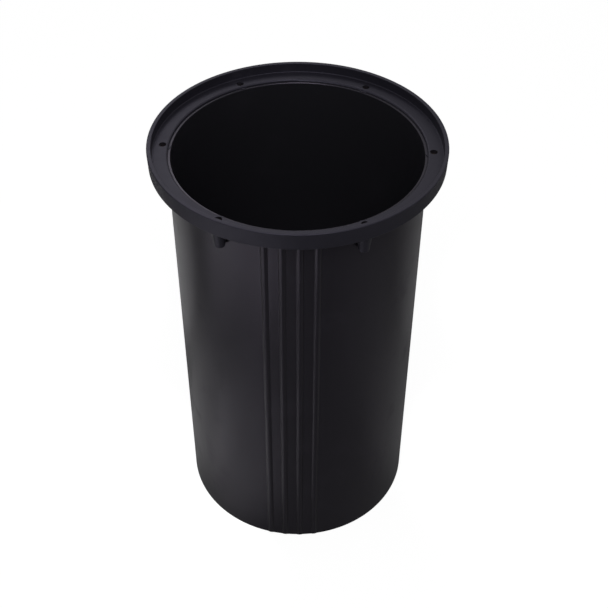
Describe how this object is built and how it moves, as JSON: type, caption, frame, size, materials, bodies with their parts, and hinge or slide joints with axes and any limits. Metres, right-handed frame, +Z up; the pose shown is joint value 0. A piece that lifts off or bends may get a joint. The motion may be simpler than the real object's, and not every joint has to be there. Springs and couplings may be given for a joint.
{
  "type": "well light sleeve",
  "caption": "Black plastic burial sleeve of an in-ground well light: open ribbed tube with a bonded collar that has a recessed screw ledge, a rim, a skirt and screw bosses.",
  "frame": {"origin": "centre of the tube's bottom end, on the plane it stands on", "axes": "+Z up along the tube towards the mouth, -Y towards the group of raised ribs, screw holes at 0 degrees from +X and at every sixth of a turn"},
  "size_m": [0.23, 0.23, 0.367],
  "materials": {
    "tube_plastic": "black extruded plastic, satin, faint die lines along its length and a few rub marks",
    "collar_plastic": "black moulded plastic, fine matt grain",
    "insert_brass": "turned brass, dull"
  },
  "bodies": {
    "root": {"sleeve_tube": "tube_plastic", "collar": "collar_plastic", "screw_inserts": "insert_brass"}
  },
  "joints": []
}
